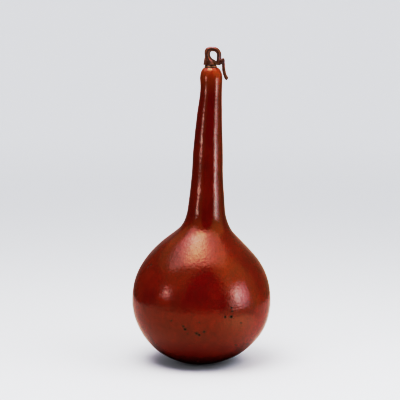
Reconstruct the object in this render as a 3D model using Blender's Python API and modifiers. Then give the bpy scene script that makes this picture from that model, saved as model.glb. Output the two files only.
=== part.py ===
"""A dried bottle gourd with a long leaning neck and its own dried, curled stem.

Metres, +Z up. The origin is the centre of the small flat spot that the gourd stands on.
The front of the gourd faces -Y, and the neck leans towards +X.
"""

import math

import bmesh
import bpy
import numpy as np
from mathutils import Vector

MM = 0.001

# Driving dimensions of the gourd, in millimetres
BULB_RADIUS = 74.5
BULB_DEPTH = 68.4  # half height of the ellipse below the widest ring
BULB_RISE = 77.8  # half height of the ellipse above it
REST_RADIUS = 14.5  # the flat spot that the gourd stands on
CROWN_HEIGHT = 318.2  # the rim of the seat in the crown
SEAT_RADIUS = 6.9  # shallow seat that the stem's collar stands in
SEAT_DEPTH = 1.6
RIM_EDGE = 0.4  # small edge between the seat and the crown's rounding

# Half widths of the neck and the crown by height, between the bulb and the seat's rim
NECK = (
    (129.0, 45.9),
    (138.5, 35.3),
    (148.0, 26.2),
    (158.0, 21.7),
    (174.0, 19.2),
    (200.0, 16.9),
    (226.0, 15.9),
    (252.0, 14.4),
    (278.0, 12.5),
    (294.0, 11.5),
    (303.0, 11.7),
    (308.5, 11.75),
    (312.5, 11.0),
    (315.0, 9.9),
    (317.0, 8.4),
    (318.2, 7.3),
)

# How far the gourd's middle has drifted sideways by each height, from the flat spot's centre
DRIFT = (
    (0.0, 0.0),
    (4.0, 1.4),
    (9.0, 2.3),
    (18.0, 2.9),
    (60.0, 3.0),
    (112.0, 3.0),
    (124.0, 3.0),
    (136.0, 4.0),
    (148.0, 6.9),
    (158.0, 7.8),
    (200.0, 9.2),
    (240.0, 10.3),
    (278.0, 12.2),
    (298.0, 13.4),
    (318.2, 13.1),
)
LEAN_AWAY = 0.2  # share of the drift that also goes towards +Y

# Slow swellings round the bulb: (waves round, share of the radius, turn in radians)
SWELLINGS = ((2, 0.004, 0.6), (3, 0.0025, 2.1))
SWELLING_HEIGHT = 70.0  # where they are largest
SWELLING_REACH = 80.0  # how far above and below it they die out

# Stem dimensions. Its rows are (x, y, z) from the middle of the seat's rim, then half width and
# half depth.
STEM_GAP = 0.3  # clearance between the collar and its seat
COLLAR_RADIUS = 6.4
COLLAR_SHIFT = -0.3  # the collar's middle from the seat's
COLLAR_FLOOR = STEM_GAP - SEAT_DEPTH
RIBS = 5
RIB_HEIGHT = 0.11  # share of the stem's half width
RIB_START = math.radians(-78)
RIB_TWIST = math.radians(60)  # turn of the ribs from the foot to the loop's end
NODE_RIB = 0.04
VINE_RIB = 0.06

# Heights and shares of the collar's radius, from its foot to the groove under the flare
COLLAR = (
    (COLLAR_FLOOR, 0.92),
    (COLLAR_FLOOR + 0.4, 0.97),
    (0.3, 0.97),
    (0.8, 1.0),
    (1.6, 1.0),
    (2.1, 0.95),
)

FOOT = (
    (-0.4, 0.0, 2.7, 7.5, 6.7),
    (-0.8, 0.0, 5.5, 6.75, 5.5),
    (-2.2, 0.0, 8.0, 5.0, 4.2),
    (-3.35, 0.0, 9.9, 3.45, 3.2),
)
LOOP = (
    (-3.8, 0.0, 11.7, 2.65, 2.75),
    (-4.0, 0.0, 13.7, 2.5, 2.6),
    (-3.9, 0.1, 15.8, 2.7, 2.5),
    (-2.9, 0.2, 18.0, 2.85, 2.5),
    (-0.8, 0.3, 19.2, 2.45, 2.4),
    (1.7, 0.3, 19.35, 2.25, 2.3),
    (4.5, 0.3, 18.9, 2.2, 2.3),
    (6.8, 0.3, 17.4, 2.15, 2.3),
    (8.1, 0.3, 15.0, 2.15, 2.3),
    (8.45, 0.4, 12.2, 2.2, 2.3),
    (8.35, 0.5, 9.0, 2.2, 2.3),
    (8.1, 0.6, 6.0, 2.15, 2.2),
    (8.0, 0.7, 3.7, 1.95, 2.0),
    (7.9, 0.7, 2.3, 1.6, 1.7),
)
NODE = (
    (8.4, 0.3, 6.2, 2.9, 2.3),
    (10.4, 0.1, 6.3, 3.1, 2.4),
    (12.0, -0.1, 6.1, 2.8, 2.0),
    (13.3, -0.2, 5.9, 1.9, 1.4),
)
VINE = (
    (12.5, -0.2, 9.9, 1.0, 1.1),
    (12.65, -0.2, 8.9, 1.45, 1.5),
    (12.9, -0.2, 5.6, 1.6, 1.6),
    (13.2, -0.3, 2.0, 1.45, 1.5),
    (13.4, -0.5, -1.5, 1.5, 1.5),
    (13.8, -0.8, -4.5, 1.6, 1.6),
    (14.6, -1.1, -7.6, 1.65, 1.6),
    (15.6, -1.3, -10.0, 1.7, 1.6),
    (16.7, -1.4, -11.6, 1.7, 1.6),
    (17.7, -1.5, -12.3, 1.4, 1.4),
)

# Facets
BULB_STATIONS = 8  # stations of the outline from the bulb's widest ring down to the flat spot
GOURD_STEPS = 56
STEPS_PER_STATION = 2
STEM_SIDES = 20
VINE_SIDES = 10


def spline(rows):
    """A smooth curve through rows of numbers, as a function of the first number in each row.

    It is the natural cubic spline, which keeps an even bend across the rows.
    """
    table = np.array(rows, float)
    knots, values = table[:, 0], table[:, 1:]
    spans = np.diff(knots)
    slopes = np.diff(values, axis=0) / spans[:, None]
    system = np.eye(len(knots))
    for i in range(1, len(knots) - 1):
        system[i, i - 1 : i + 2] = spans[i - 1], 2 * (spans[i - 1] + spans[i]), spans[i]
    pull = np.zeros_like(values)
    pull[1:-1] = 6 * np.diff(slopes, axis=0)
    bends = np.linalg.solve(system, pull)

    def at(position):
        i = int(np.clip(np.searchsorted(knots, position) - 1, 0, len(spans) - 1))
        span = spans[i]
        a = (knots[i + 1] - position) / span
        b = (position - knots[i]) / span
        bend = (a**3 - a) * bends[i] + (b**3 - b) * bends[i + 1]
        return a * values[i] + b * values[i + 1] + bend * span**2 / 6

    return at


def by_length(rows):
    """Rows of numbers with the distance travelled so far put in front of each."""
    travelled = 0.0
    measured = [(travelled, *rows[0])]
    for before, row in zip(rows, rows[1:]):
        travelled += math.dist(before[:3], row[:3])
        measured.append((travelled, *row))
    return measured


drift_curve = spline(DRIFT)


def drift_at(height):
    """Sideways drift of the gourd's middle at a height, in millimetres."""
    return float(drift_curve(height)[0])


def skin_stations():
    """Points of the gourd's half outline as (radius, height), from the crown's rim to the flat spot's."""
    stations = [(radius, height) for height, radius in reversed(NECK)]
    rest_turn = math.acos(REST_RADIUS / BULB_RADIUS)
    widest = BULB_DEPTH * math.sin(rest_turn)
    for degrees in (46, 36, 26, 15, 5):
        turn = math.radians(degrees)
        stations.append((BULB_RADIUS * math.cos(turn), widest + BULB_RISE * math.sin(turn)))
    for i in range(1, BULB_STATIONS + 1):
        turn = rest_turn * i / BULB_STATIONS
        stations.append((BULB_RADIUS * math.cos(turn), widest - BULB_DEPTH * math.sin(turn)))
    return stations


def gourd_outline():
    """Half outline of the gourd as (radius, height), from the crown's seat down to the flat spot."""
    seat_floor = CROWN_HEIGHT - SEAT_DEPTH
    points = [(0.0, seat_floor), (SEAT_RADIUS, seat_floor), (SEAT_RADIUS, CROWN_HEIGHT - RIM_EDGE)]
    rows = by_length(skin_stations())
    skin = spline(rows)
    for before, row in zip(rows, rows[1:]):
        for i in range(STEPS_PER_STATION):
            length = before[0] + (row[0] - before[0]) * i / STEPS_PER_STATION
            points.append(tuple(skin(length)))
    points.append((REST_RADIUS, 0.0))
    points.append((0.0, 0.0))
    return points


def wood(name, colour, roughness):
    """A plain finish in the part's own colour."""
    material = bpy.data.materials.new(name)
    material.use_nodes = True
    shader = material.node_tree.nodes["Principled BSDF"]
    shader.inputs["Base Color"].default_value = (*colour, 1.0)
    shader.inputs["Roughness"].default_value = roughness
    shader.inputs["Metallic"].default_value = 0.0
    return material


def as_mesh(source, name, collection):
    """The evaluated shape of an object as a new mesh object. The source is removed."""
    graph = bpy.context.evaluated_depsgraph_get()
    graph.update()
    mesh = bpy.data.meshes.new_from_object(source.evaluated_get(graph))
    mesh.name = name
    bpy.data.objects.remove(source)
    made = bpy.data.objects.new(name, mesh)
    collection.objects.link(made)
    return made


def finish(part, material):
    """Welds a mesh object's doubles, points its faces outwards, and shades its round sides smooth."""
    shape = bmesh.new()
    shape.from_mesh(part.data)
    bmesh.ops.remove_doubles(shape, verts=shape.verts, dist=0.00001)
    bmesh.ops.recalc_face_normals(shape, faces=shape.faces)
    shape.to_mesh(part.data)
    shape.free()
    part.data.shade_smooth()
    part.data.set_sharp_from_angle(angle=math.radians(40))
    part.data.materials.clear()
    part.data.materials.append(material)


def make_gourd(collection):
    """The fruit: its half outline turned about Z, then swollen and leaned as it grew."""
    outline = bpy.data.meshes.new("gourd_outline")
    points = [(radius * MM, 0.0, height * MM) for radius, height in gourd_outline()]
    outline.from_pydata(points, [(i, i + 1) for i in range(len(points) - 1)], [])
    turned = bpy.data.objects.new("gourd_outline", outline)
    collection.objects.link(turned)
    screw = turned.modifiers.new("turn", "SCREW")
    screw.steps = screw.render_steps = GOURD_STEPS
    screw.use_merge_vertices = True
    screw.merge_threshold = 0.00001
    gourd = as_mesh(turned, "gourd", collection)
    for vertex in gourd.data.vertices:
        height = vertex.co.z / MM
        bearing = math.atan2(vertex.co.y, vertex.co.x)
        share = max(0.0, 1 - abs(height - SWELLING_HEIGHT) / SWELLING_REACH)
        swell = sum(size * math.cos(waves * bearing + turn) for waves, size, turn in SWELLINGS)
        vertex.co.x *= 1 + swell * share
        vertex.co.y *= 1 + swell * share
        drift = drift_at(height) * MM
        vertex.co.x += drift
        vertex.co.y += drift * LEAN_AWAY
    finish(gourd, wood("gourd_skin", (0.21, 0.028, 0.010), 0.3))
    return gourd


def section(shape, centre, along, half_width, half_depth, rib, rib_turn, sides):
    """Adds one closed ring of points across a stalk that runs along a direction."""
    depth = Vector((0, 1, 0))
    depth = (depth - along * depth.dot(along)).normalized()
    width = depth.cross(along)
    ring = []
    for i in range(sides):
        turn = math.tau * i / sides
        bulge = 1 + rib * math.cos(RIBS * (turn - rib_turn))
        offset = width * half_width * math.cos(turn) + depth * half_depth * math.sin(turn)
        ring.append(shape.verts.new((centre + offset * bulge) * MM))
    return ring


def stalk(name, rings, sides, origin, collection):
    """A solid lofted through rings, each given as (centre, along, width, depth, rib, rib turn)."""
    shape = bmesh.new()
    loops = []
    for centre, along, half_width, half_depth, rib, rib_turn in rings:
        loops.append(
            section(shape, origin + centre, along, half_width, half_depth, rib, rib_turn, sides)
        )
    for low, high in zip(loops, loops[1:]):
        for i in range(sides):
            j = (i + 1) % sides
            shape.faces.new((low[i], low[j], high[j], high[i]))
    shape.faces.new(loops[0][::-1])
    shape.faces.new(loops[-1])
    bmesh.ops.recalc_face_normals(shape, faces=shape.faces)
    mesh = bpy.data.meshes.new(name)
    shape.to_mesh(mesh)
    shape.free()
    made = bpy.data.objects.new(name, mesh)
    collection.objects.link(made)
    return made


def smooth_rings(rows, steps_per_row, rib, level_rows=0):
    """Rings along a smooth curve through rows of (x, y, z, half width, half depth).

    Rings stay level up to the last of the level rows, and turn into the curve over the next row.
    """
    measured = by_length(rows)
    route = spline(measured)
    whole = measured[-1][0]
    nudge = 0.1
    rings = []
    for i in range((len(rows) - 1) * steps_per_row + 1):
        row, part = divmod(i, steps_per_row)
        start = measured[row][0]
        end = measured[min(row + 1, len(rows) - 1)][0]
        length = start + (end - start) * part / steps_per_row
        x, y, z, half_width, half_depth = route(length)
        ahead = Vector(route(min(length + nudge, whole))[:3])
        along = (ahead - Vector(route(max(length - nudge, 0.0))[:3])).normalized()
        if level_rows:
            turned = min(1.0, max(0.0, i / steps_per_row - level_rows + 1))
            along = Vector((0, 0, 1)).lerp(along, turned).normalized()
        rib_turn = RIB_START + RIB_TWIST * length / whole
        grown = min(1.0, 0.4 + i / steps_per_row)
        rings.append((Vector((x, y, z)), along, half_width, half_depth, rib * grown, rib_turn))
    return rings


def collar_rings():
    """Level rings of the round collar, from its foot in the seat to the groove under the flare."""
    rings = []
    for height, share in COLLAR:
        radius = COLLAR_RADIUS * share
        centre = Vector((COLLAR_SHIFT, 0, height))
        rings.append((centre, Vector((0, 0, 1)), radius, radius, 0.0, RIB_START))
    return rings


def make_stem(collection, helpers):
    """The stalk: collar, ribbed foot and loop in one loft, joined with the node and the vine's stub."""
    drift = drift_at(CROWN_HEIGHT)
    origin = Vector((drift, drift * LEAN_AWAY, CROWN_HEIGHT))
    main = collar_rings() + smooth_rings(FOOT + LOOP, 3, RIB_HEIGHT, level_rows=len(FOOT))
    stem = stalk("stem", main, STEM_SIDES, origin, collection)
    joined = bpy.data.collections.new("stem_branches")
    helpers.children.link(joined)
    stalk("stem_node", smooth_rings(NODE, 2, NODE_RIB), VINE_SIDES, origin, joined)
    stalk("vine_stub", smooth_rings(VINE, 2, VINE_RIB), VINE_SIDES, origin, joined)
    union = stem.modifiers.new("join", "BOOLEAN")
    union.operation = "UNION"
    union.operand_type = "COLLECTION"
    union.collection = joined
    union.solver = "EXACT"
    stem = as_mesh(stem, "stem", collection)
    for branch in list(joined.objects):
        bpy.data.objects.remove(branch)
    bpy.data.collections.remove(joined)
    finish(stem, wood("stem_bark", (0.10, 0.028, 0.012), 0.35))
    return stem


def main():
    for old in list(bpy.data.objects):
        bpy.data.objects.remove(old)
    scene = bpy.context.scene
    collection = bpy.data.collections.new("dried_bottle_gourd")
    scene.collection.children.link(collection)
    helpers = bpy.data.collections.new("helpers")
    scene.collection.children.link(helpers)
    make_gourd(collection)
    make_stem(collection, helpers)


main()
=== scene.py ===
"""Fine surfaces, finishes and a studio for the dried bottle gourd.

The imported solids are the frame. The rind and the stalk made here replace them, in the same places.
Lengths in the tables are millimetres, from the centre of the flat spot that the gourd stands on.
The front of the gourd faces -Y, and its neck leans towards +X.
"""

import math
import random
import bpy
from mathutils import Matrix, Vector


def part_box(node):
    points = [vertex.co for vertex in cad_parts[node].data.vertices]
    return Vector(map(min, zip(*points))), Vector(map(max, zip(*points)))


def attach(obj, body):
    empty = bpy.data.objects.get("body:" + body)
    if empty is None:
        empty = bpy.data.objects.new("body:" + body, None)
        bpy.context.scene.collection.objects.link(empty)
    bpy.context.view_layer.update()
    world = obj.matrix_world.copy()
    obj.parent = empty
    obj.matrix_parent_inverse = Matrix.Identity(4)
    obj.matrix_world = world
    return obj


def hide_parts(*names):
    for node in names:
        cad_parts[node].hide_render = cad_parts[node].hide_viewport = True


bl_info = {
    "name": "Dried bottle gourd",
    "version": (1, 0, 0),
    "blender": (4, 5, 0),
    "location": "View3D > Sidebar > Gourd",
    "description": "Builds the polished rind, the curled stalk and the studio of a dried bottle gourd",
    "category": "Add Mesh",
}

import bmesh
import bpy
import numpy as np
from bpy.props import FloatProperty, FloatVectorProperty, IntProperty, PointerProperty
from bpy.types import Operator, Panel, PropertyGroup
from mathutils import Matrix, Vector, kdtree, noise

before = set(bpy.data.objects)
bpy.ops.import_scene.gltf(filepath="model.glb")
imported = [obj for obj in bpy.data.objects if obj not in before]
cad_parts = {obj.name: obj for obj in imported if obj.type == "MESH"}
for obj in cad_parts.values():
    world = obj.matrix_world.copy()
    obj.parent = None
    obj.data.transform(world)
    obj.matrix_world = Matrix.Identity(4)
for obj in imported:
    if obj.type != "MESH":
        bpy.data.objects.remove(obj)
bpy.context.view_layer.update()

MM = 0.001

# The gourd's outline, as in its solid
BULB_RADIUS = 74.5
BULB_DEPTH = 68.4
BULB_RISE = 77.8
REST_RADIUS = 14.5
CROWN_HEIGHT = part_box("gourd")[1].z / MM
NECK = (
    (129.0, 45.9), (138.5, 35.3), (148.0, 26.2), (158.0, 21.7), (174.0, 19.2),
    (200.0, 16.9), (226.0, 15.9), (252.0, 14.4), (278.0, 12.5), (294.0, 11.5),
    (303.0, 11.7), (308.5, 11.75), (312.5, 11.0), (315.0, 9.9), (317.0, 8.4),
)
DRIFT = (
    (0.0, 0.0), (4.0, 1.4), (9.0, 2.3), (18.0, 2.9), (60.0, 3.0),
    (112.0, 3.0), (124.0, 3.0), (136.0, 4.0), (148.0, 6.9), (158.0, 7.8),
    (200.0, 9.2), (240.0, 10.3), (278.0, 12.2), (298.0, 13.4), (318.2, 13.1),
)
LEAN_AWAY = 0.2
SWELLINGS = ((2, 0.004, 0.6), (3, 0.0025, 2.1))
SWELLING_HEIGHT = 70.0
SWELLING_REACH = 80.0
BULB_STATIONS = 8

# The size of the rind's lumps and grain, and its folds round the seat and round the scar
LUMP_SIZE = 38.0
GRAIN_SIZE = 11.0
FOLDS, FOLD_HEIGHT = 13, 0.13
WRINKLES, WRINKLE_HEIGHT = 17, 0.06

# The seat in the crown, which the rind closes up to the stalk's collar
SEAT_FLOOR = CROWN_HEIGHT - 1.6
LIP_RADIUS = 6.5
LIP_ROUND = 0.4

# The blossom's scar in the middle of the flat spot
SCAR_RADIUS = 6.0
SCAR_DEPTH = 0.9
NUB_RADIUS = 1.7
NUB_HEIGHT = 0.6

# Insect holes and scars in the front of the rind: (bearing from the front, height, radius, depth)
FRONT_PITS = (
    (24.8, 72.9, 0.8, 0.9), (25.4, 69.2, 0.75, 0.9), (24.7, 63.5, 1.1, 1.3),
    (19.3, 63.8, 0.85, 1.0), (-13.9, 50.7, 1.0, 1.3), (-15.1, 54.0, 0.65, 0.8),
    (-2.2, 44.8, 0.95, 1.0), (-4.3, 46.4, 0.9, 0.35), (-25.2, 59.2, 0.6, 0.3),
    (-12.2, 46.0, 0.4, 0.4), (2.1, 48.5, 0.9, 0.2), (34.0, 55.7, 0.6, 0.3),
    (-1.9, 59.0, 0.45, 0.25), (34.8, 29.8, 0.7, 0.3),
)
# Small bumps, in the same way
FRONT_BUMPS = (
    (13.0, 102.5, 0.7, 0.2), (20.0, 99.0, 0.6, 0.16), (16.5, 95.0, 0.8, 0.16),
    (33.0, 112.0, 0.8, 0.2),
)
# The rest are drawn by rule round the sides and the back
BACK_PITS = 16
PIT_SEED = 11
# Facets are split this often within each of these distances of a pit
FINER_CUTS = 2
FINER_REACHES = (4.2, 2.6)

# Facets round each part of the stalk, and rings along it
COLLAR_SIDES = 128
LOOP_FACETS = (120, 420)
NODE_FACETS = (64, 60)
VINE_FACETS = (56, 180)

RIBS = 5
RIB_START = math.radians(-78)
RIB_TWIST = math.radians(60)
# The stalk's rows: (x, y, z) from the middle of the seat's rim, then half width and half depth
FOOT = (
    (-0.4, 0.0, 2.7, 7.5, 6.7), (-0.8, 0.0, 5.5, 6.75, 5.5),
    (-2.2, 0.0, 8.0, 5.0, 4.2), (-3.35, 0.0, 9.9, 3.45, 3.2),
)
LOOP = (
    (-3.8, 0.0, 11.7, 2.65, 2.75), (-4.0, 0.0, 13.7, 2.5, 2.6),
    (-3.9, 0.1, 15.8, 2.7, 2.5), (-2.9, 0.2, 18.0, 2.85, 2.5),
    (-0.8, 0.3, 19.2, 2.45, 2.4), (1.7, 0.3, 19.35, 2.25, 2.3),
    (4.5, 0.3, 18.9, 2.2, 2.3), (6.8, 0.3, 17.4, 2.15, 2.3),
    (8.1, 0.3, 15.0, 2.15, 2.3), (8.45, 0.4, 12.2, 2.2, 2.3),
    (8.35, 0.5, 9.0, 2.2, 2.3), (8.1, 0.6, 6.0, 2.15, 2.2),
    (8.0, 0.7, 3.7, 1.95, 2.0), (7.9, 0.7, 2.3, 1.6, 1.7),
)
NODE = (
    (8.4, 0.3, 6.2, 2.9, 2.3), (10.4, 0.1, 6.3, 3.1, 2.4),
    (12.0, -0.1, 6.1, 2.8, 2.0), (13.3, -0.2, 5.9, 1.9, 1.4),
)
VINE = (
    (12.5, -0.2, 9.9, 1.0, 1.1), (12.65, -0.2, 8.9, 1.45, 1.5),
    (12.9, -0.2, 5.6, 1.6, 1.6), (13.2, -0.3, 2.0, 1.45, 1.5),
    (13.4, -0.5, -1.5, 1.5, 1.5), (13.8, -0.8, -4.5, 1.6, 1.6),
    (14.6, -1.1, -7.6, 1.65, 1.6), (15.6, -1.3, -10.0, 1.7, 1.6),
    (16.7, -1.4, -11.6, 1.7, 1.6), (17.7, -1.5, -12.3, 1.4, 1.4),
)
# The collar under the foot, as (radius, height) from its foot in the seat to inside the flare
COLLAR_SHIFT = -0.3
COLLAR = (
    (0.0, -1.3), (5.9, -1.3), (6.2, -0.9), (6.2, 0.2), (6.45, 0.6),
    (6.5, 1.1), (6.4, 1.7), (6.1, 2.1), (5.8, 2.6), (5.0, 3.2),
    (0.0, 3.2),
)

# The sweep's flat floor, bend and top, and the half outline of the room that only reflections show
SWEEP_FLAT, SWEEP_BEND, SWEEP_TOP = 2400.0, 1400.0, 3200.0
SWEEP_STEPS = 12
ROOM_OUTLINE = (
    (500.0, 0.0), (720.0, 30.0), (1050.0, 120.0), (1050.0, 1000.0), (950.0, 1350.0),
    (750.0, 1600.0), (400.0, 1750.0), (0.0, 1800.0),
)
STAGE_SIDES = 96
BLACK = (0.0, 0.0, 0.0, 1.0)

# Fixed colours of the rind's pores, its underside, and the painted shading inside its pits with the
# staining round them
PORE_COLOUR = (0.02, 0.003, 0.002, 1.0)
BASE_COLOUR = (0.028, 0.001, 0.001, 1.0)
PIT_SHADING_AND_STAIN_COLOUR = (0.006, 0.002, 0.0015, 1.0)

# The picture's contrast, as (light, what is shown), up to the brightest light told apart
BRIGHTEST = 4.0
CONTRAST = (
    (0.05, 0.02), (0.1, 0.045), (0.15, 0.07), (0.2, 0.105), (0.25, 0.16),
    (0.3, 0.235), (0.35, 0.325), (0.4, 0.41), (0.45, 0.48), (0.55, 0.57),
    (0.65, 0.635), (0.8, 0.695), (1.0, 0.75), (1.3, 0.805), (2.0, 0.89),
)


def spline(rows):
    """A smooth curve through rows of numbers, as a function of the first number in each row."""
    table = np.array(rows, float)
    knots, values = table[:, 0], table[:, 1:]
    spans = np.diff(knots)
    slopes = np.diff(values, axis=0) / spans[:, None]
    system = np.eye(len(knots))
    for i in range(1, len(knots) - 1):
        system[i, i - 1 : i + 2] = spans[i - 1], 2 * (spans[i - 1] + spans[i]), spans[i]
    pull = np.zeros_like(values)
    pull[1:-1] = 6 * np.diff(slopes, axis=0)
    bends = np.linalg.solve(system, pull)

    def at(position):
        i = int(np.clip(np.searchsorted(knots, position) - 1, 0, len(spans) - 1))
        span = spans[i]
        a = (knots[i + 1] - position) / span
        b = (position - knots[i]) / span
        bend = (a**3 - a) * bends[i] + (b**3 - b) * bends[i + 1]
        return a * values[i] + b * values[i + 1] + bend * span**2 / 6

    return at


def by_length(rows):
    """Rows of numbers with the distance travelled so far put in front of each."""
    travelled = 0.0
    measured = [(travelled, *rows[0])]
    for before, row in zip(rows, rows[1:]):
        travelled += math.dist(before[:3], row[:3])
        measured.append((travelled, *row))
    return measured


def ease(low, high, value):
    """0 below low, 1 above high, and a smooth rise between them. High may be the lower number."""
    share = min(1.0, max(0.0, (value - low) / (high - low)))
    return share * share * (3 - 2 * share)


drift_curve = spline(DRIFT)


def drift_at(height):
    """How far the gourd's middle has drifted at a height, as a vector in millimetres."""
    sideways = float(drift_curve(height)[0])
    return Vector((sideways, sideways * LEAN_AWAY, 0.0))


def add_mesh(name, shape, material):
    """Makes a bmesh a smooth object with a finish."""
    mesh = bpy.data.meshes.new(name)
    shape.to_mesh(mesh)
    shape.free()
    mesh.materials.append(material)
    mesh.shade_smooth()
    made = bpy.data.objects.new(name, mesh)
    bpy.context.scene.collection.objects.link(made)
    return made


def add_piece(name, shape, material, node):
    """Makes a bmesh a finished piece of the object that stands for a CAD node."""
    piece = add_mesh(name, shape, material)
    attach(piece, "root")
    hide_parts(node)


# Rind


def scar_height(radius):
    """Height of the underside at a distance from its middle, inside the flat spot."""
    hollow = SCAR_DEPTH * ease(SCAR_RADIUS, SCAR_RADIUS * 0.4, radius)
    return hollow - NUB_HEIGHT * ease(NUB_RADIUS, NUB_RADIUS * 0.3, radius)


def lip_points():
    """The rounded lip of the seat, from its wall over the top to the crown."""
    points = []
    for degrees in (180, 150, 120, 90, 67, 45):
        turn = math.radians(degrees)
        radius = LIP_RADIUS + LIP_ROUND + LIP_ROUND * math.cos(turn)
        points.append((radius, CROWN_HEIGHT - LIP_ROUND + LIP_ROUND * math.sin(turn)))
    return points


def skin_stations(lip_end):
    """Points of the half outline as (radius, height), from the seat's lip to the flat spot's rim."""
    stations = [lip_end] + [(radius, height) for height, radius in reversed(NECK)]
    rest_turn = math.acos(REST_RADIUS / BULB_RADIUS)
    widest = BULB_DEPTH * math.sin(rest_turn)
    for degrees in (46, 36, 26, 15, 5):
        turn = math.radians(degrees)
        stations.append((BULB_RADIUS * math.cos(turn), widest + BULB_RISE * math.sin(turn)))
    for i in range(1, BULB_STATIONS + 1):
        turn = rest_turn * i / BULB_STATIONS
        stations.append((BULB_RADIUS * math.cos(turn), widest - BULB_DEPTH * math.sin(turn)))
    return stations


def rind_outline(spacing):
    """The whole half outline, from the middle of the seat to the middle of the flat spot."""
    wall = LIP_RADIUS - LIP_ROUND
    points = [(0.0, SEAT_FLOOR), (wall / 2, SEAT_FLOOR), (wall, SEAT_FLOOR)]
    points.append((LIP_RADIUS, SEAT_FLOOR + LIP_ROUND))
    lip = lip_points()
    points += lip[:-1]
    rows = by_length(skin_stations(lip[-1]))
    skin = spline(rows)
    steps = round(rows[-1][0] / spacing)
    points += [tuple(skin(rows[-1][0] * i / steps)) for i in range(steps)]
    rings = 20
    for i in range(rings + 1):
        radius = REST_RADIUS * (1 - i / rings)
        points.append((radius, scar_height(radius)))
    return points


def turned(outline, sides):
    """A bmesh of a half outline turned about Z, closed at its poles."""
    shape = bmesh.new()
    verts = [shape.verts.new((radius * MM, 0.0, height * MM)) for radius, height in outline]
    edges = [shape.edges.new(pair) for pair in zip(verts, verts[1:])]
    middle, axis = (0.0, 0.0, 0.0), (0.0, 0.0, 1.0)
    bmesh.ops.spin(
        shape, geom=verts + edges, cent=middle, axis=axis, angle=math.tau, steps=sides, use_merge=True
    )
    bmesh.ops.remove_doubles(shape, verts=shape.verts, dist=1e-7)
    bmesh.ops.recalc_face_normals(shape, faces=shape.faces)
    return shape


def on_bulb(radius_at, bearing, height):
    """The place on the turned rind at a bearing in degrees from the front, before it is leaned."""
    turn = math.radians(bearing)
    radius = radius_at(height)
    return Vector((radius * math.sin(turn), -radius * math.cos(turn), height)) * MM


def all_pits(count):
    """The front's pits, its bumps as pits of less than no depth, and others out of sight."""
    draw = random.Random(PIT_SEED)
    pits = list(FRONT_PITS) + [(*bump[:3], -bump[3]) for bump in FRONT_BUMPS]
    for _ in range(count):
        bearing = draw.uniform(60, 300)
        height = draw.uniform(22, 112)
        radius = draw.uniform(0.35, 0.85)
        pits.append((bearing, height, radius, radius * draw.uniform(0.5, 1.5)))
    return pits


def refine(shape, places, reach, cuts):
    """Splits the faces that lie within reach of any of the places."""
    shape.faces.ensure_lookup_table()
    tree = tree_of([face.calc_center_median() for face in shape.faces])
    near = {found[1] for place in places for found in tree.find_range(place, reach)}
    edges = {edge for index in near for edge in shape.faces[index].edges}
    bmesh.ops.subdivide_edges(
        shape, edges=sorted(edges, key=lambda edge: edge.index), cuts=cuts, use_grid_fill=True
    )
    shape.faces.index_update()
    shape.edges.index_update()


def settle(shape, radius_at):
    """Puts the points that were added between rings on the outline's true curve."""
    for vert in shape.verts:
        height = vert.co.z / MM
        across = vert.co.xy.length
        if 0.5 < height < CROWN_HEIGHT - 2 and across > 0:
            vert.co.xy *= radius_at(height) * MM / across


def relief(place, lumps, grain):
    """Height in millimetres of the rind's own unevenness at a place given in millimetres."""
    height = place.z
    bearing = math.atan2(place.y, place.x)
    still = ease(0.5, 6.0, height) * ease(CROWN_HEIGHT, CROWN_HEIGHT - 3, height)
    neck = ease(120.0, 165.0, height)
    broad = lumps * (1 - 0.7 * neck) * noise.noise(place / LUMP_SIZE)
    middle = grain * noise.noise(Vector((place.x, place.y, place.z * 0.7)) / GRAIN_SIZE)
    rise = (broad + middle) * still
    folds = math.cos(FOLDS * bearing + 2.5 * noise.noise(place / 9.0))
    rise += FOLD_HEIGHT * folds * ease(306.0, 316.0, height) * ease(CROWN_HEIGHT, 316.5, height)
    wrinkles = math.cos(WRINKLES * bearing + 2.0 * noise.noise(place / 7.0))
    across = place.xy.length
    if height < 3:
        rise += WRINKLE_HEIGHT * wrinkles * ease(1.0, 3.0, across) * ease(13.0, 7.0, across)
    return rise


def grow(shape, lumps, grain):
    """Gives the turned rind its unevenness, its slow swellings and its lean."""
    shape.normal_update()
    moved = []
    for vert in shape.verts:
        place = vert.co / MM
        height = place.z
        bearing = math.atan2(place.y, place.x)
        place += vert.normal * relief(place, lumps, grain)
        share = max(0.0, 1 - abs(height - SWELLING_HEIGHT) / SWELLING_REACH)
        swell = sum(size * math.cos(waves * bearing + turn) for waves, size, turn in SWELLINGS)
        place.xy *= 1 + swell * share
        place.z = max(place.z, 0.0)
        moved.append((place + drift_at(height)) * MM)
    for vert, place in zip(shape.verts, moved):
        vert.co = place


def tree_of(points):
    """A tree that finds the nearest of some points, which it numbers from 0."""
    tree = kdtree.KDTree(len(points))
    for index, point in enumerate(points):
        tree.insert(point, index)
    tree.balance()
    return tree


def bore(shape, middles, pits):
    """Sinks the pits into the rind, and marks how dark each is painted inside, as painted shading, and
    how stained the rind is round it.
    """
    pit_shading_and_stain = shape.verts.layers.float.new("pit_shading_and_stain")
    shape.verts.ensure_lookup_table()
    tree = tree_of([vert.co for vert in shape.verts])
    shape.normal_update()
    sunk = {}
    for middle, (_, _, radius, depth) in zip(middles, pits):
        for place, index, _ in tree.find_range(middle, radius * 3 * MM):
            away = (place - middle).length / MM
            ragged = radius * (1 + 0.25 * noise.noise(place * 1400))
            inside = ease(ragged * 1.12, ragged * 0.8, away)
            lip = 0.05 * ease(ragged * 2.2, ragged * 1.15, away) * (1 - inside)
            # Inside the pit the mark is painted shading; in the ring round it, the rind's own staining.
            mark = max(inside, 0.55 * ease(radius * 2.6, radius, away)) if depth > 0 else 0.0
            rise, marked = sunk.get(index, (0.0, 0.0))
            rise = min(rise, lip - depth * inside) if inside else rise + lip
            sunk[index] = (rise, max(marked, mark))
    for index, (rise, mark) in sunk.items():
        vert = shape.verts[index]
        vert.co += vert.normal * rise * MM
        vert[pit_shading_and_stain] = mark


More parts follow.
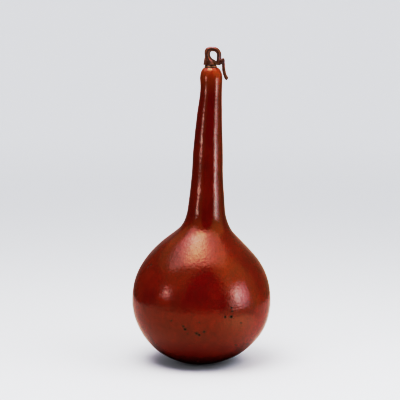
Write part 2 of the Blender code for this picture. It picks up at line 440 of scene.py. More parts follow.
def make_rind(settings):
    """The fine rind: turned outline, pits in finer facets, unevenness, swellings and lean."""
    outline = rind_outline(settings.row_spacing / MM)
    skin = sorted((height, radius) for radius, height in outline if radius > LIP_RADIUS + LIP_ROUND)
    heights, radii = np.array(skin).T

    def radius_at(height):
        return float(np.interp(height, heights, radii))

    shape = turned(outline, settings.sides)
    pits = all_pits(settings.back_pits)
    middles = [on_bulb(radius_at, bearing, height) for bearing, height, _, _ in pits]
    for reach in FINER_REACHES:
        refine(shape, middles, reach * MM, FINER_CUTS)
    settle(shape, radius_at)
    shape.verts.ensure_lookup_table()
    tree = tree_of([vert.co for vert in shape.verts])
    nearest = [tree.find(middle)[1] for middle in middles]
    grow(shape, settings.lump_height / MM, settings.grain_height / MM)
    bore(shape, [shape.verts[index].co.copy() for index in nearest], pits)
    return shape


# Stalk


def straight_tube(sides, rings):
    """A closed upright tube of radius 1 from height 0 to 1, with level rings along it."""
    shape = bmesh.new()
    up = Matrix.Translation((0.0, 0.0, 0.5))
    bmesh.ops.create_cone(
        shape, cap_ends=True, segments=sides, radius1=1.0, radius2=1.0, depth=1.0, matrix=up
    )
    uprights = [edge for edge in shape.edges if abs(edge.verts[0].co.z - edge.verts[1].co.z) > 0.5]
    bmesh.ops.subdivide_edges(shape, edges=uprights, cuts=rings - 2)
    return shape


def rib_shape(turn):
    """Height from -1 to 1 across the ribs at a turn: round crests with narrow grooves between them."""
    sharp = 2 * abs(math.cos(RIBS * turn / 2)) ** 0.75 - 1
    return 0.6 * math.cos(RIBS * turn) + 0.4 * sharp


def frame_along(route, length, whole, level_until, turned_by):
    """Directions along, across and through a stalk at a length."""
    nudge = 0.1
    ahead = Vector(route(min(length + nudge, whole))[:3])
    along = (ahead - Vector(route(max(length - nudge, 0.0))[:3])).normalized()
    if turned_by > level_until:
        share = min(1.0, max(0.0, (length - level_until) / (turned_by - level_until)))
        along = Vector((0, 0, 1)).lerp(along, share).normalized()
    depth = Vector((0, 1, 0))
    depth = (depth - along * depth.dot(along)).normalized()
    return along, depth.cross(along), depth


def fibres(turn, length, height):
    """Fine long ridges on dry bark, in millimetres."""
    ring = Vector((math.cos(turn), math.sin(turn), 0.0))
    coarse = noise.noise(ring * 4.5 + Vector((0, 0, length / 7)))
    fine = noise.noise(ring * 13 + Vector((5, 0, length / 6)))
    return height * (1.2 * coarse + 0.8 * fine)


def grown_tube(rows, origin, sides, rings, rib, round_end, fibre_height, level_rows=0):
    """A ribbed tube along rows, and what each point is on it: (place, straightened place, rib)."""
    measured = by_length(rows)
    route = spline(measured)
    whole = measured[-1][0]
    level_until = measured[level_rows - 1][0] if level_rows else 0.0
    turned_by = measured[level_rows][0] if level_rows else 0.0
    shape = straight_tube(sides, rings)
    frames = {}
    known = []
    for vert in shape.verts:
        turn = math.atan2(vert.co.y, vert.co.x)
        length = whole * min(1.0, max(0.0, vert.co.z))
        key = round(vert.co.z, 5)
        if key not in frames:
            row = route(length)
            frames[key] = (row, *frame_along(route, length, whole, level_until, turned_by))
        row, _, across, through = frames[key]
        left = min(length, whole - length)
        blunt = math.sqrt(1 - (1 - min(1.0, left / round_end)) ** 2)
        rib_turn = turn - RIB_START - RIB_TWIST * length / whole
        crest = rib_shape(rib_turn)
        bulge = 1 + rib * crest
        offset = across * row[3] * math.cos(turn) + through * row[4] * math.sin(turn)
        place = Vector(row[:3]) + offset * bulge * blunt
        outwards = offset.normalized()
        place += outwards * fibres(turn, length, fibre_height) * blunt
        place += outwards * 0.12 * noise.noise(place / 2.6) * blunt
        girth = (row[3] + row[4]) / 2
        straight = Vector((math.cos(turn) * girth, math.sin(turn) * girth, length))
        vert.co = (origin + place) * MM
        known.append((vert.co.copy(), straight, crest, 0.0))
    return shape, known


def collar_ring(origin, sides):
    """The turned collar between the seat and the foot's flare, with faint rings round it and a strip
    where a painted highlight goes.
    """
    shape = turned(COLLAR, sides)
    edges = [edge for edge in shape.edges if edge.calc_length() > 0.4 * MM]
    uprights = [edge for edge in edges if abs(edge.verts[0].co.z - edge.verts[1].co.z) > 0.1 * MM]
    bmesh.ops.subdivide_edges(shape, edges=uprights, cuts=2)
    known = []
    for vert in shape.verts:
        place = vert.co / MM + Vector((COLLAR_SHIFT, 0, 0))
        ripple = 0.05 * math.sin(place.z * 9.0) + 0.12 * noise.noise(place / 2.2)
        place += Vector((place.x, place.y, 0)).normalized() * ripple
        vert.co = (origin + place) * MM
        # Where the collar's painted highlight goes, from 0 to 1.
        collar_highlight_band = ease(0.35, 0.75, place.z) * ease(1.75, 1.35, place.z)
        known.append((vert.co.copy(), place, -0.2, collar_highlight_band))
    return shape, known


def fused(shapes, voxel):
    """One closed mesh of overlapping shapes, grown into each other where they meet."""
    joined = bmesh.new()
    for shape in shapes:
        mesh = bpy.data.meshes.new("stalk_part")
        shape.to_mesh(mesh)
        shape.free()
        joined.from_mesh(mesh)
        bpy.data.meshes.remove(mesh)
    mesh = bpy.data.meshes.new("stalk_parts")
    joined.to_mesh(mesh)
    joined.free()
    holder = bpy.data.objects.new("stalk_parts", mesh)
    bpy.context.scene.collection.objects.link(holder)
    remesh = holder.modifiers.new("grow together", "REMESH")
    remesh.mode = "VOXEL"
    remesh.voxel_size = voxel
    graph = bpy.context.evaluated_depsgraph_get()
    graph.update()
    shape = bmesh.new()
    shape.from_mesh(holder.evaluated_get(graph).data)
    bpy.data.objects.remove(holder)
    bpy.data.meshes.remove(mesh)
    bmesh.ops.smooth_vert(
        shape, verts=shape.verts, factor=0.5, use_axis_x=True, use_axis_y=True, use_axis_z=True
    )
    return shape


def make_stalk(settings):
    """The stalk: collar, ribbed foot and loop, node and vine stub, grown into one."""
    drift = drift_at(CROWN_HEIGHT)
    origin = drift + Vector((0.0, 0.0, CROWN_HEIGHT))
    fibre = settings.fibre_height / MM
    rib = settings.rib_height
    parts = [
        collar_ring(origin, COLLAR_SIDES),
        grown_tube(FOOT + LOOP, origin, *LOOP_FACETS, rib, 0.35, fibre, level_rows=len(FOOT)),
        grown_tube(NODE, origin, *NODE_FACETS, rib * 0.4, 0.5, fibre),
        grown_tube(VINE, origin, *VINE_FACETS, rib * 0.7, 0.7, fibre),
    ]
    known = [point for _, points in parts for point in points]
    tree = tree_of([point[0] for point in known])
    shape = fused([shape for shape, _ in parts], settings.voxel)
    bark = shape.verts.layers.float_vector.new("bark")
    rib_layer = shape.verts.layers.float.new("rib")
    # Layers for the bark's length, its ribs and the collar's painted highlight.
    collar_highlight_layer = shape.verts.layers.float.new("collar_highlight_band")
    for vert in shape.verts:
        _, vert[bark], vert[rib_layer], vert[collar_highlight_layer] = known[tree.find(vert.co)[1]]
    return shape


# Finishes. Apart from add_node, what adds a node to a tree returns its output socket


def add_node(tree, kind, inputs=(), **settings):
    """Adds a shader node, sets its properties, gives each input a value or a link, and returns it."""
    made = tree.nodes.new(kind)
    for name, value in settings.items():
        setattr(made, name, value)
    for name, value in dict(inputs).items():
        if isinstance(value, bpy.types.NodeSocket):
            tree.links.new(value, made.inputs[name])
        else:
            made.inputs[name].default_value = value
    return made


def mixed(tree, factor, first, second):
    """A colour between two colours."""
    inputs = {0: factor, 6: first, 7: second}
    return add_node(tree, "ShaderNodeMix", inputs, data_type="RGBA").outputs[2]


def calculated(tree, operation, first, second=0.0, third=0.0):
    """The result of a sum on values or sockets."""
    values = {0: first, 1: second, 2: third}
    return add_node(tree, "ShaderNodeMath", values, operation=operation).outputs[0]


def product(tree, *parts):
    """Values or sockets multiplied together."""
    whole = parts[0]
    for part in parts[1:]:
        whole = calculated(tree, "MULTIPLY", whole, part)
    return whole


def mapped(tree, value, low, high, to_low=0.0, to_high=1.0):
    """A value moved smoothly from one range to another."""
    inputs = {"Value": value, "From Min": low, "From Max": high, "To Min": to_low, "To Max": to_high}
    return add_node(tree, "ShaderNodeMapRange", inputs, interpolation_type="SMOOTHSTEP").outputs[0]


def distance(tree, place, middle=(0.0, 0.0, 0.0)):
    """How far a place is from a middle."""
    inputs = {0: place, 1: middle}
    return add_node(tree, "ShaderNodeVectorMath", inputs, operation="DISTANCE").outputs["Value"]


def stored(tree, name, output="Fac"):
    """A value or a vector stored on the mesh."""
    return add_node(tree, "ShaderNodeAttribute", attribute_name=name).outputs[output]


def object_place(tree):
    """The place on the piece."""
    return add_node(tree, "ShaderNodeTexCoord").outputs["Object"]


def noised(tree, vector, scale, detail):
    """Noise from 0 to 1."""
    inputs = {"Vector": vector, "Scale": scale, "Detail": detail}
    return add_node(tree, "ShaderNodeTexNoise", inputs).outputs["Fac"]


def new_group(name, values):
    """A node group from a Vector and values to a Mask, and the sockets that it is given."""
    group = bpy.data.node_groups.new(name, "ShaderNodeTree")
    group.interface.new_socket("Vector", in_out="INPUT", socket_type="NodeSocketVector")
    for label, value in values:
        socket = group.interface.new_socket(label, in_out="INPUT", socket_type="NodeSocketFloat")
        socket.default_value = value
    group.interface.new_socket("Mask", in_out="OUTPUT", socket_type="NodeSocketFloat")
    return group, group.nodes.new("NodeGroupInput").outputs


def mottling_group():
    """Cloudy patches as a mask: noise with its contrast raised between two levels."""
    if "Mottling" in bpy.data.node_groups:
        return bpy.data.node_groups["Mottling"]
    values = (("Scale", 100.0), ("Detail", 4.0), ("Low", 0.4), ("High", 0.6))
    group, given = new_group("Mottling", values)
    cloud = noised(group, given["Vector"], given["Scale"], given["Detail"])
    add_node(group, "NodeGroupOutput", {"Mask": mapped(group, cloud, given["Low"], given["High"])})
    return group


def fleck_group():
    """Scattered round specks as a mask, each cell's speck of its own size or left out."""
    if "Flecks" in bpy.data.node_groups:
        return bpy.data.node_groups["Flecks"]
    group, given = new_group("Flecks", (("Scale", 200.0), ("Size", 0.2), ("Share", 0.5)))
    inputs = {name: given[name] for name in ("Vector", "Scale")}
    cells = add_node(group, "ShaderNodeTexVoronoi", inputs).outputs
    draw = add_node(group, "ShaderNodeSeparateColor", {"Color": cells["Color"]}).outputs
    chosen = calculated(group, "LESS_THAN", draw[0], given["Share"])
    reach = product(group, given["Size"], calculated(group, "ADD", draw[1], 0.3))
    near = mapped(group, calculated(group, "DIVIDE", cells["Distance"], reach), 1.0, 0.6)
    add_node(group, "NodeGroupOutput", {"Mask": product(group, near, chosen)})
    return group


def mottled(tree, vector, scale, detail, low, high):
    """A mask from the mottling group."""
    inputs = {"Vector": vector, "Scale": scale, "Detail": detail, "Low": low, "High": high}
    return add_node(tree, "ShaderNodeGroup", inputs, node_tree=mottling_group()).outputs[0]


def flecked(tree, vector, scale, size, share):
    """A mask from the flecks group."""
    inputs = {"Vector": vector, "Scale": scale, "Size": size, "Share": share}
    return add_node(tree, "ShaderNodeGroup", inputs, node_tree=fleck_group()).outputs[0]


def stretched(tree, vector, scale, turn=(0.0, 0.0, 0.0)):
    """Coordinates stretched and turned."""
    inputs = {"Vector": vector, "Scale": scale, "Rotation": turn}
    return add_node(tree, "ShaderNodeMapping", inputs).outputs[0]


def new_material(name):
    """An empty material with its Principled shader and its tree."""
    material = bpy.data.materials.new(name)
    material.use_nodes = True
    tree = material.node_tree
    return material, tree, tree.nodes["Principled BSDF"]


def add_relief(tree, shader, coarse, fine, share, height):
    """Gives a finish relief from two noises, the fine one a share of the height of the coarse."""
    level = calculated(tree, "MULTIPLY_ADD", fine, share, coarse)
    bump = {"Height": level, "Distance": height}
    tree.links.new(add_node(tree, "ShaderNodeBump", bump).outputs[0], shader.inputs["Normal"])


def rind_colour(tree, settings, place, along, height, patches):
    """The rind's reds: mottled and freckled, darkened on the shoulder as painted shading, warm at the
    crown, dark below.
    """
    clouds = mottled(tree, place, 26.0, 4.0, 0.36, 0.66)
    streaks = mottled(tree, along, 190.0, 4.0, 0.42, 0.66)
    deep, warm = (*settings.deep_colour, 1.0), (*settings.warm_colour, 1.0)
    colour = mixed(tree, product(tree, clouds, 0.8), deep, warm)
    colour = mixed(tree, product(tree, streaks, 0.35), colour, deep)
    colour = mixed(tree, mapped(tree, height, 0.085, 0.05, 0.0, 0.3), colour, warm)
    # Painted shading: the colour darkens on the shoulder, by height. The patches mixed in with it are
    # the rind's own darker tone.
    shoulder = mapped(tree, height, 0.095, 0.125, 0.0, 0.35)
    patch_tone_and_shoulder_shading = calculated(tree, "MULTIPLY_ADD", patches, 0.15, shoulder)
    colour = mixed(tree, patch_tone_and_shoulder_shading, colour, (*[part * 0.45 for part in settings.deep_colour], 1.0))
    crown = mapped(tree, height, 0.285, 0.316, 0.0, 0.8)
    colour = mixed(tree, crown, colour, (*settings.crown_colour, 1.0))
    pores = flecked(tree, place, 210.0, 0.11, 0.4)
    colour = mixed(tree, product(tree, pores, 0.6), colour, PORE_COLOUR)
    return mixed(tree, mapped(tree, height, 0.024, 0.007, 0.0, 0.98), colour, BASE_COLOUR)


def rind_material(settings):
    """Polished red-brown rind, smoothest on its neck, scuffed in places, dull in its pits and painted
    dark in them as painted shading.
    """
    material, tree, shader = new_material("polished_rind")
    place = object_place(tree)
    along = stretched(tree, place, (1.0, 1.0, 0.14))
    height = add_node(tree, "ShaderNodeSeparateXYZ", {0: place}).outputs[2]
    patches = mottled(tree, place, 170.0, 5.0, 0.4, 0.68)
    pit_shading_and_stain = stored(tree, "pit_shading_and_stain")
    colour = rind_colour(tree, settings, place, along, height, patches)
    # Painted shading inside the pits, and the rind's staining round them.
    colour = mixed(tree, mapped(tree, pit_shading_and_stain, 0.0, 1.0), colour, PIT_SHADING_AND_STAIN_COLOUR)
    tree.links.new(colour, shader.inputs["Base Color"])

    gloss = settings.gloss_roughness
    rough = mapped(tree, height, 0.12, 0.16, gloss, gloss - 0.04)
    rough = calculated(tree, "MULTIPLY_ADD", patches, 0.06, rough)
    askew = stretched(tree, place, (1.0, 1.0, 3.0), (0.5, 0.9, 0.3))
    rough = calculated(tree, "MULTIPLY_ADD", mottled(tree, askew, 60.0, 6.0, 0.55, 0.75), 0.08, rough)
    rough = calculated(tree, "MULTIPLY_ADD", pit_shading_and_stain, 0.5, rough)
    tree.links.new(rough, shader.inputs["Roughness"])
    shader.inputs["IOR"].default_value = 1.46
    shader.inputs["Specular Tint"].default_value = (*settings.sheen_tint, 1.0)

    dimples, ripples = noised(tree, place, 300.0, 2.5), noised(tree, along, 420.0, 3.0)
    add_relief(tree, shader, dimples, ripples, 0.4, settings.dimple_height)
    return material


def bark_material(settings):
    """Glossy dark bark: grooves darker than crests, partly the bark's own wear and partly painted
    shading in the grooves and painted highlight on the crests; long fibres; a tan ring round the collar
    that is a painted highlight.
    """
    material, tree, shader = new_material("glossy_bark")
    place = object_place(tree)
    bark = stored(tree, "bark", "Vector")
    grain = stretched(tree, bark, (1.0, 1.0, 0.12))
    length = add_node(tree, "ShaderNodeSeparateXYZ", {0: bark}).outputs[2]

    crests = mapped(tree, stored(tree, "rib"), -0.3, 0.9)
    lines = mottled(tree, grain, 2.6, 4.0, 0.4, 0.64)
    blotches = mottled(tree, place, 420.0, 4.0, 0.42, 0.62)
    # The crests' lighter colour is partly wear and partly painted highlight; the grooves' darker colour
    # is partly painted shading. Less of it towards the foot.
    groove, crest = (*settings.groove_colour, 1.0), (*settings.crest_colour, 1.0)
    crest_share_by_length = mapped(tree, length, 4.0, 10.0, 0.4, 1.0)
    rib_wear_and_painted_light = product(tree, crests, mapped(tree, lines, 0.0, 1.0, 0.45, 1.0), crest_share_by_length)
    colour = mixed(tree, rib_wear_and_painted_light, groove, crest)
    colour = mixed(tree, product(tree, blotches, 0.45), colour, groove)
    # The tan ring on the collar is a painted highlight.
    ring = product(tree, stored(tree, "collar_highlight_band"), mapped(tree, blotches, 1.0, 0.0, 0.5, 1.0))
    colour = mixed(tree, ring, colour, (*settings.collar_highlight_colour, 1.0))
    tree.links.new(colour, shader.inputs["Base Color"])

    tree.links.new(mapped(tree, lines, 0.0, 1.0, 0.16, 0.3), shader.inputs["Roughness"])
    shader.inputs["IOR"].default_value = 1.5
    shader.inputs["Specular Tint"].default_value = (*settings.gloss_tint, 1.0)

    threads, grit = noised(tree, grain, 5.0, 4.0), noised(tree, place, 2500.0, 2.0)
    add_relief(tree, shader, threads, grit, 0.3, settings.grit_height)
    return material


# Studio


def glowing_material(name, colour=BLACK):
    """A studio finish without shine, ready for a glow. A black one shows nothing but its glow."""
    material, tree, shader = new_material(name)
    shader.inputs["Base Color"].default_value = colour
    shader.inputs["Specular IOR Level"].default_value = 0.0
    shader.inputs["Emission Strength"].default_value = 1.0
    return material, tree, shader


def add_stage_mesh(name, shape, material):
    """Makes a bmesh a smooth object with a finish, as add_mesh does."""
    staged = add_mesh(name, shape, material)
    return staged


def sweep_material(settings):
    """Plain pale paper, which glows a little far from the gourd as if it were lit there."""
    material, tree, shader = glowing_material("pale_sweep", (*settings.floor_colour, 1.0))
    lit = mapped(tree, distance(tree, object_place(tree)), settings.wash_start, settings.wash_full)
    glow = mixed(tree, lit, BLACK, (*settings.wash_colour, 1.0))
    tree.links.new(glow, shader.inputs["Emission Color"])
    return material


def make_sweep(settings):
    """A pale floor that curves up into a round wall, so that every side has a seamless background."""
    points = [(0.0, 0.0), (300.0, 0.0), (1000.0, 0.0), (1800.0, 0.0)]
    for i in range(SWEEP_STEPS + 1):
        turn = math.pi / 2 * i / SWEEP_STEPS
        across, up = math.sin(turn), 1 - math.cos(turn)
        points.append((SWEEP_FLAT + SWEEP_BEND * across, SWEEP_BEND * up))
    points.append((SWEEP_FLAT + SWEEP_BEND, SWEEP_TOP))
    shape = turned(points, STAGE_SIDES)
    bmesh.ops.reverse_faces(shape, faces=shape.faces)
    add_stage_mesh("sweep", shape, sweep_material(settings)).visible_glossy = False


def degrees_mapped(tree, angle, low, high, to_low=0.0, to_high=1.0):
    """An angle between two angles in degrees, moved smoothly to another range."""
    return mapped(tree, angle, math.radians(low), math.radians(high), to_low, to_high)


def arch_mask(tree, settings, bearing, rise):
    """1 in the dark arch at the room's front, 0 outside it."""
    side = calculated(tree, "SUBTRACT", bearing, settings.arch_bearing)
    side = calculated(tree, "DIVIDE", side, settings.arch_width / 2)
    up = calculated(tree, "DIVIDE", rise, settings.arch_height)
    out = calculated(tree, "MULTIPLY_ADD", side, side, product(tree, up, up))
    return mapped(tree, out, 1.15, 0.9)


def room_light(tree, settings, bearing, rise):
    """How bright the room's front and sides are: dim near the floor, brightest at the right."""
    above = degrees_mapped(tree, rise, 8, 45, settings.low_light, settings.high_light)
    right = degrees_mapped(tree, bearing, 20, 55, 0.0, settings.right_wall_light)
    far_right = degrees_mapped(tree, bearing, 94, 114, 1.0, 0.25)
    far_left = degrees_mapped(tree, bearing, -88, -65, 0.25, 1.0)
    far_left = calculated(tree, "MAXIMUM", far_left, degrees_mapped(tree, rise, 30, 42))
    clear = calculated(tree, "SUBTRACT", 1.0, arch_mask(tree, settings, bearing, rise))
    return product(tree, calculated(tree, "ADD", above, right), far_right, far_left, clear)


def surround_material(settings):
    """The room as the rind reflects it: dim near the floor, pale above and behind, dark in front."""
    material, tree, shader = glowing_material("room")
    x, y, z = add_node(tree, "ShaderNodeSeparateXYZ", {0: object_place(tree)}).outputs
    bearing = calculated(tree, "ARCTAN2", x, product(tree, y, -1.0))
    level = add_node(tree, "ShaderNodeCombineXYZ", {0: x, 1: y}).outputs[0]
    rise = calculated(tree, "ARCTAN2", z, distance(tree, level))
    light = room_light(tree, settings, bearing, rise)
    behind = calculated(tree, "ABSOLUTE", bearing)
    behind = degrees_mapped(tree, behind, 138, 170, 0.0, settings.back_light)
    whole = calculated(tree, "ADD", light, behind)
    blue = calculated(tree, "MULTIPLY_ADD", light, 0.35, behind)
    colour = add_node(tree, "ShaderNodeCombineColor", {0: whole, 1: whole, 2: blue}).outputs[0]
    tree.links.new(colour, shader.inputs["Emission Color"])
    return material


def show_only_in_gloss(staged):
    """Leaves a part of the studio out of everything but reflections."""
    staged.visible_camera = False
    staged.visible_diffuse = False
    staged.visible_shadow = False
    staged.visible_transmission = False


def make_surround(settings):
    """A round room that shows only as a reflection."""
    shape = turned(ROOM_OUTLINE, STAGE_SIDES)
    show_only_in_gloss(add_stage_mesh("surround", shape, surround_material(settings)))


def add_facing(name, data, place, way):
    """Adds a lamp or a camera at a place, looking the given way."""
    made = bpy.data.objects.new(name, data)
    made.location = place
    made.rotation_mode = "QUATERNION"
    made.rotation_quaternion = way.to_track_quat("-Z", "Y")
    bpy.context.scene.collection.objects.link(made)
    return made


def add_softbox(name, place, aim, size, radiance):
    """A soft area light that faces a point, as bright as a surface of that radiance."""
    light = bpy.data.lights.new(name, "AREA")
    light.shape = "RECTANGLE"
    light.size, light.size_y = size
    light.energy = radiance * math.pi * size[0] * size[1]
    return add_facing(name, light, place, Vector(aim) - Vector(place))


def add_card(name, place, across_way, up_way, size, glow, paint):
    """A glowing card that only reflections show. Its paint tells how solid and bright each spot is."""
    material, tree, shader = glowing_material(name)
    across, up, _ = add_node(tree, "ShaderNodeSeparateXYZ", {0: stored(tree, "spot", "Vector")}).outputs
    solid, bright = paint(tree, across, up)
    parts = {i: product(tree, bright, part) for i, part in enumerate(glow)}
    made = add_node(tree, "ShaderNodeCombineColor", parts)
    tree.links.new(made.outputs[0], shader.inputs["Emission Color"])
    tree.links.new(solid, shader.inputs["Alpha"])

    shape = bmesh.new()
    bmesh.ops.create_grid(shape, x_segments=1, y_segments=1, size=0.5)
    bmesh.ops.scale(shape, vec=(size[0], size[1], 1.0), verts=shape.verts)
    layer = shape.verts.layers.float_vector.new("spot")
    for vert in shape.verts:
        vert[layer] = vert.co
    across_way, up_way = Vector(across_way).normalized(), Vector(up_way)
    facing = Matrix((across_way, up_way, across_way.cross(up_way))).transposed().to_4x4()
    bmesh.ops.transform(shape, matrix=Matrix.Translation(place) @ facing, verts=shape.verts)
    show_only_in_gloss(add_stage_mesh(name, shape, material))


def overhead_paint(tree, across, up):
    """The overhead panel: soft edges, its front left corner drawn out, brightest along a strip."""
    slant = calculated(tree, "MULTIPLY_ADD", up, -0.83, across)
    left, right = mapped(tree, slant, -1.2, -0.3), mapped(tree, across, 0.75, -0.1)
    front, back = mapped(tree, up, -0.68, -0.33), mapped(tree, up, 0.6, 0.2)
    away = calculated(tree, "ABSOLUTE", calculated(tree, "ADD", across, 0.1))
    return product(tree, left, right, front, back), mapped(tree, away, 0.5, 0.05, 0.45, 1.0)


def ground_paint(tree, across, up):
    """The floor: dark where the bulb shades it, pale all round, a window's glare at the front right."""
    place = add_node(tree, "ShaderNodeCombineXYZ", {0: across, 1: up}).outputs[0]
    away = distance(tree, place)
    glare = mapped(tree, distance(tree, place, (0.17, -0.11, 0.0)), 0.15, 0.0, 0.0, 2.2)
    pale = mapped(tree, away, 0.042, 0.095)
    return mapped(tree, away, 0.71, 0.7), calculated(tree, "ADD", pale, glare)


def left_paint(tree, across, up):
    """The left window: an even light with soft edges, softest at its top."""
    side = mapped(tree, calculated(tree, "ABSOLUTE", across), 0.18, 0.07)
    return product(tree, side, mapped(tree, up, 0.15, -0.03), mapped(tree, up, -0.16, -0.09)), 1.0


def right_paint(tree, across, up):
    """The right window: a soft bright strip, a dimmer one at its right, fading towards the floor."""
    left, right = mapped(tree, across, -0.21, -0.03), mapped(tree, across, 0.3, 0.12)
    strip = mapped(tree, across, 0.1, 0.01, 0.55, 1.0)
    lower = mapped(tree, up, -0.3, -0.02, 0.3, 1.0)
    return product(tree, left, right, mapped(tree, up, 0.2, 0.03)), product(tree, strip, lower)


def make_lamps(settings):
    """The lamps: a wide ceiling, and an overhead and a right one that no reflection shows."""
    add_softbox("ceiling", (0.06, 0.1, 1.15), (0.06, 0.1, 0.0), (1.3, 1.04), settings.ceiling_lamp)
    for name, place, aim, size, radiance in (
        ("overhead_lamp", (-0.2, -0.42, 1.12), (-0.1, -0.3, 0.0), (0.7, 0.7), settings.overhead_lamp),
        ("right_lamp", (0.45, -0.23, 0.52), (0.0, 0.0, 0.32), (0.45, 0.45), settings.right_lamp),
    ):
        add_softbox(name, place, aim, size, radiance).visible_glossy = False


def make_cards(settings):
    """What the rind reflects: a panel overhead, the floor, a window at the left, one at the right."""
    overhead = [settings.overhead_shine * part for part in (0.9, 0.93, 1.5)]
    ground = [settings.ground_shine * part for part in (1.0, 0.98, 0.92)]
    left = [settings.left_shine * part for part in (0.82, 0.94, 1.8)]
    right = [settings.right_shine * part for part in (0.76, 1.02, 2.15)]
    to_right, to_back, up = (1.0, 0.0, 0.0), (0.0, 1.0, 0.0), (0.0, 0.0, 1.0)
    left_turn, right_turn = (0.53, -0.85, 0.0), (0.49, 0.87, 0.0)
    add_card("overhead", (0.0, 0.1, 1.1), to_right, to_back, (2.2, 1.4), overhead, overhead_paint)
    add_card("ground", (0.0, 0.0, 0.0), to_right, to_back, (1.0, 1.0), ground, ground_paint)
    add_card("left_window", (-0.85, -0.53, 0.33), left_turn, up, (0.36, 0.32), left, left_paint)
    add_card("right_window", (0.54, -0.3, 0.2), right_turn, up, (0.62, 0.4), right, right_paint)


def make_camera(settings):
    """The camera at the photograph's height, a long way off with a long lens."""
    data = bpy.data.cameras.new("camera")
    data.lens = settings.lens
    data.clip_start, data.clip_end = 0.05, 50.0
    rise = settings.elevation
    back = Vector((0.0, -math.cos(rise), math.sin(rise)))
    place = Vector(settings.aim) + back * settings.distance
    bpy.context.scene.camera = add_facing("camera", data, place, -back)


def make_world(settings):
    """Even pale light from all round."""
    world = bpy.data.worlds.new("studio")
    world.use_nodes = True
    background = world.node_tree.nodes["Background"]
    background.inputs["Color"].default_value = (*settings.world_colour, 1.0)
    background.inputs["Strength"].default_value = settings.world_strength
    bpy.context.scene.world = world


def set_contrast(view):
    """Gives the picture a photograph's contrast: deep shadows and soft highlights."""
    view.view_transform = "Standard"
    view.look = "None"
    view.use_curve_mapping = True
    mapping = view.curve_mapping
    mapping.white_level = (BRIGHTEST, BRIGHTEST, BRIGHTEST)
    curve = mapping.curves[3]
    curve.points[0].location = (0.0, 0.0)
    curve.points[-1].location = (1.0, 1.0)
    for light, shown in CONTRAST:
        curve.points.new(light / BRIGHTEST, shown)
    mapping.update()


def colour_property(name, description, default):
    """A colour setting from 0 to 1."""
    return FloatVectorProperty(
        name=name, description=description, default=default, size=3, subtype="COLOR", min=0.0, max=1.0
    )


def length_property(name, description, default, least=0.0):
    """A length setting in metres."""
    return FloatProperty(
        name=name, description=description, default=default, min=least, unit="LENGTH", precision=5
    )


def light_property(name, description, default):
    """A brightness setting."""
    return FloatProperty(name=name, description=description, default=default, min=0.0)


def angle_property(name, description, degrees):
    """An angle setting, given in degrees."""
    turn = math.radians(degrees)
    return FloatProperty(name=name, description=description, default=turn, subtype="ANGLE")


class GourdRindSettings(PropertyGroup):
    sides: IntProperty(name="Sides", description="Facets round the rind", default=216, min=24)
    row_spacing: length_property("Row spacing", "Distance between rings of facets", 0.0013, 0.0003)
    lump_height: length_property("Lump height", "Height of the bulb's broad unevenness", 0.0005)
    grain_height: length_property("Grain height", "Height of the rind's finer unevenness", 0.00014)
    dimple_height: length_property("Dimple height", "Height of the finest relief", 0.00022)
    back_pits: IntProperty(name="Back pits", description="Pits out of sight", default=BACK_PITS, min=0)
    deep_colour: colour_property("Deep colour", "The rind's darker red", (0.138, 0.0015, 0.0012))
    warm_colour: colour_property("Warm colour", "The rind's lighter patches", (0.195, 0.009, 0.0012))
    crown_colour: colour_property("Crown colour", "The rind near the stalk", (0.18, 0.026, 0.003))
    sheen_tint: colour_property("Sheen tint", "Colour of its reflections", (1.0, 0.98, 0.42))
    gloss_roughness: FloatProperty(
        name="Gloss roughness", description="Roughness of the polish", default=0.14, min=0.0, max=1.0
    )


class GourdStalkSettings(PropertyGroup):
    voxel: length_property("Voxel", "Facet size of the stalk", 0.00016, 0.0001)
    fibre_height: length_property("Fibre height", "Height of the bark's fine ridges", 0.00006)
    rib_height: FloatProperty(
        name="Rib height", description="Share of the stalk's half width", default=0.15, min=0.0, max=0.5
    )
    # Groove and crest colours: partly painted shading in the grooves and painted highlight on the
    # crests.
    groove_colour: colour_property("Groove colour", "Bark between the ribs", (0.05, 0.008, 0.003))
    crest_colour: colour_property("Crest colour", "Bark on the ribs", (0.215, 0.066, 0.025))
    # The colour of the painted highlight round the collar.
    collar_highlight_colour: colour_property("Ring colour", "The pale ring on the collar", (0.30, 0.16, 0.055))
    gloss_tint: colour_property("Gloss tint", "Colour of its reflections", (1.0, 0.84, 0.56))
    grit_height: length_property("Grit height", "Height of the bark's finest relief", 0.00012)


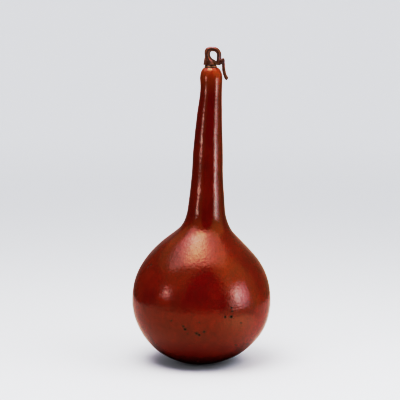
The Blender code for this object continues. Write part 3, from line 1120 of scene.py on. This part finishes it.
class GourdStageSettings(PropertyGroup):
    floor_colour: colour_property("Floor colour", "Colour of the sweep", (0.795, 0.803, 0.83))
    world_colour: colour_property("World colour", "Colour of the light all round", (0.965, 0.975, 1.0))
    world_strength: light_property("World strength", "Light from all round", 0.5)
    wash_colour: colour_property("Wash colour", "Extra light on the far sweep", (0.28, 0.285, 0.30))
    wash_start: length_property("Wash start", "Where the extra light begins", 0.3)
    wash_full: length_property("Wash full", "Where the extra light is full", 2.5)
    ceiling_lamp: light_property("Ceiling lamp", "Radiance of the wide ceiling panel", 1.2)
    overhead_lamp: light_property("Overhead lamp", "Radiance of the panel overhead", 7.8)
    right_lamp: light_property("Right lamp", "Radiance of the lamp at the right", 3.6)
    overhead_shine: light_property("Overhead shine", "Radiance of the panel's reflection", 10.0)
    left_shine: light_property("Left shine", "Radiance of the left window's reflection", 10.5)
    right_shine: light_property("Right shine", "Radiance of the right window's reflection", 10.5)
    ground_shine: light_property("Ground shine", "Radiance of the floor's reflection", 0.95)
    low_light: light_property("Low light", "Radiance of the room near the floor", 0.25)
    high_light: light_property("High light", "Radiance of the room's upper part", 0.75)
    right_wall_light: light_property("Right wall light", "Extra radiance at the right", 0.7)
    back_light: light_property("Back light", "Radiance of the room behind", 0.45)
    arch_bearing: angle_property("Arch bearing", "Where the arch is, from the front", 6.5)
    arch_width: angle_property("Arch width", "Angle that the arch covers", 71.0)
    arch_height: angle_property("Arch height", "Angle of the arch's top", 62.0)
    lens: FloatProperty(name="Lens", description="Focal length", default=150.0, unit="CAMERA")
    elevation: angle_property("Elevation", "Camera's height angle", 8.0)
    distance: length_property("Distance", "From the camera to its aim", 1.783)
    aim: FloatVectorProperty(
        name="Aim", description="What the camera sees", default=(0.00143, 0.0, 0.1767), unit="LENGTH"
    )


class GOURD_OT_make_rind(Operator):
    """Make the polished rind in place of its solid"""

    bl_idname = "gourd.make_rind"
    bl_label = "Make rind"

    def execute(self, context):
        settings = context.scene.gourd_rind
        add_piece("rind", make_rind(settings), rind_material(settings), "gourd")
        return {"FINISHED"}


class GOURD_OT_make_stalk(Operator):
    """Make the curled stalk in place of its solid"""

    bl_idname = "gourd.make_stalk"
    bl_label = "Make stalk"

    def execute(self, context):
        settings = context.scene.gourd_stalk
        add_piece("stalk", make_stalk(settings), bark_material(settings), "stem")
        return {"FINISHED"}


class GOURD_OT_make_stage(Operator):
    """Make the pale sweep, the soft lights and the camera"""

    bl_idname = "gourd.make_stage"
    bl_label = "Make stage"

    def execute(self, context):
        settings = context.scene.gourd_stage
        make_sweep(settings)
        make_surround(settings)
        make_lamps(settings)
        make_cards(settings)
        make_camera(settings)
        make_world(settings)
        set_contrast(context.scene.view_settings)
        return {"FINISHED"}


# Settings and operator of each piece and of the stage
PARTS = {
    "gourd_rind": (GourdRindSettings, GOURD_OT_make_rind),
    "gourd_stalk": (GourdStalkSettings, GOURD_OT_make_stalk),
    "gourd_stage": (GourdStageSettings, GOURD_OT_make_stage),
}


class GOURD_PT_panel(Panel):
    """The gourd's pieces and their settings"""

    bl_label = "Gourd"
    bl_idname = "GOURD_PT_panel"
    bl_space_type = "VIEW_3D"
    bl_region_type = "UI"
    bl_category = "Gourd"

    def draw(self, context):
        for name, (_, operator) in PARTS.items():
            box = self.layout.box()
            settings = getattr(context.scene, name)
            for key in settings.__annotations__:
                box.prop(settings, key)
            box.operator(operator.bl_idname)


CLASSES = (*[cls for pair in PARTS.values() for cls in pair], GOURD_PT_panel)


def register():
    for cls in CLASSES:
        bpy.utils.register_class(cls)
    for name, (settings, _) in PARTS.items():
        setattr(bpy.types.Scene, name, PointerProperty(type=settings))


def unregister():
    for name in PARTS:
        delattr(bpy.types.Scene, name)
    for cls in reversed(CLASSES):
        bpy.utils.unregister_class(cls)


def main():
    register()
    bpy.ops.gourd.make_stage()
    bpy.ops.gourd.make_rind()
    bpy.ops.gourd.make_stalk()


if __name__ == "__main__":
    main()
